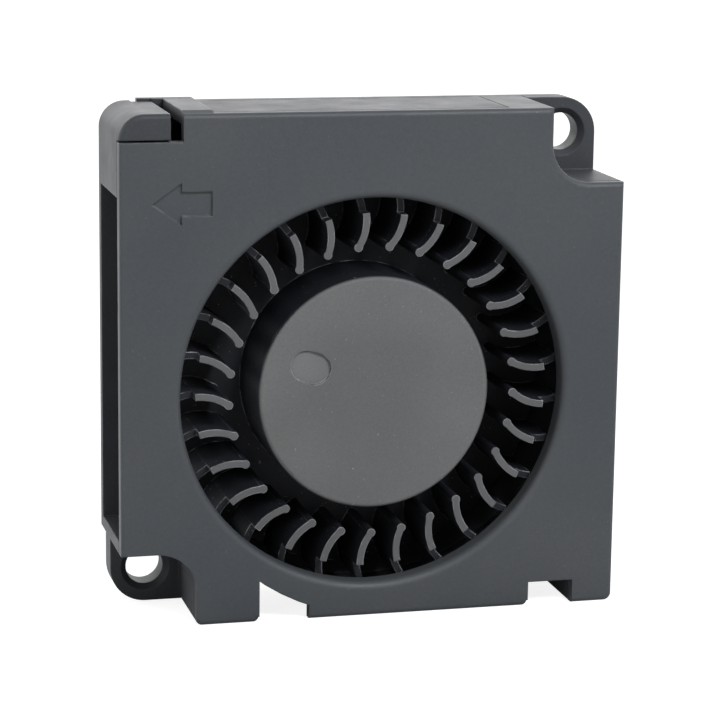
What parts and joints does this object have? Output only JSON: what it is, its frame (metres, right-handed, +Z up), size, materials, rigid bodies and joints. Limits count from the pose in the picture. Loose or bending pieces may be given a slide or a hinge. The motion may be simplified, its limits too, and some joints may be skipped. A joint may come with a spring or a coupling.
{
  "type": "dc blower fan",
  "caption": "Square centrifugal blower with a scroll housing, side outlet, inlet cover on snap legs, curved-blade drum impeller and outer-rotor brushless motor.",
  "frame": {"origin": "centre of the bottom edge, half way through the depth", "axes": "+Z up along the height, +Y from the inlet face to the back face, +X away from the outlet; the shaft lies along Y at z = 18 mm"},
  "size_m": [0.04, 0.01, 0.0402],
  "materials": {
    "base_plastic": "black moulded plastic with a fine satin skin",
    "cover_plastic": "black moulded plastic with a fine satin skin",
    "impeller_plastic": "dark grey moulded plastic, satin",
    "yoke_steel": "drawn and plated steel cup",
    "bonded_ferrite": "bonded ferrite ring, dull",
    "shaft_steel": "ground stainless steel",
    "nylon": "natural nylon",
    "brass_tube": "turned brass",
    "sintered_bronze": "oil-filled sintered bronze, dull",
    "lamination_steel": "stamped silicon steel sheets",
    "insulator_nylon": "glass-filled nylon, off-white",
    "enamelled_copper": "enamelled copper wire",
    "tinned_pin": "tinned pins",
    "board_laminate": "glass-epoxy laminate with green resist",
    "chip_resin": "moulded epoxy",
    "chip_ceramic": "fired ceramic chips"
  },
  "bodies": {
    "housing": {"base_housing": "base_plastic", "front_cover": "cover_plastic", "bearing_tube": "brass_tube", "sleeve_bearing": "sintered_bronze", "thrust_pad": "nylon", "stator_core": "lamination_steel", "front_insulator": "insulator_nylon", "rear_insulator": "insulator_nylon", "coil_right": "enamelled_copper", "coil_top": "enamelled_copper", "coil_left": "enamelled_copper", "coil_bottom": "enamelled_copper", "winding_pins": "tinned_pin", "circuit_board": "board_laminate", "driver_chip": "chip_resin", "diode": "chip_resin", "capacitor": "chip_ceramic", "resistors": "chip_ceramic"},
    "rotor": {"impeller": "impeller_plastic", "rotor_yoke": "yoke_steel", "ring_magnet": "bonded_ferrite", "shaft": "shaft_steel", "oil_washer": "nylon", "retaining_washer": "nylon"}
  },
  "joints": [
    {"name": "rotor_spin", "type": "hinge", "parent": "housing", "child": "rotor", "pos_m": [0, 0, 0.018], "axis": [0, -1, 0], "continuous": true}
  ]
}
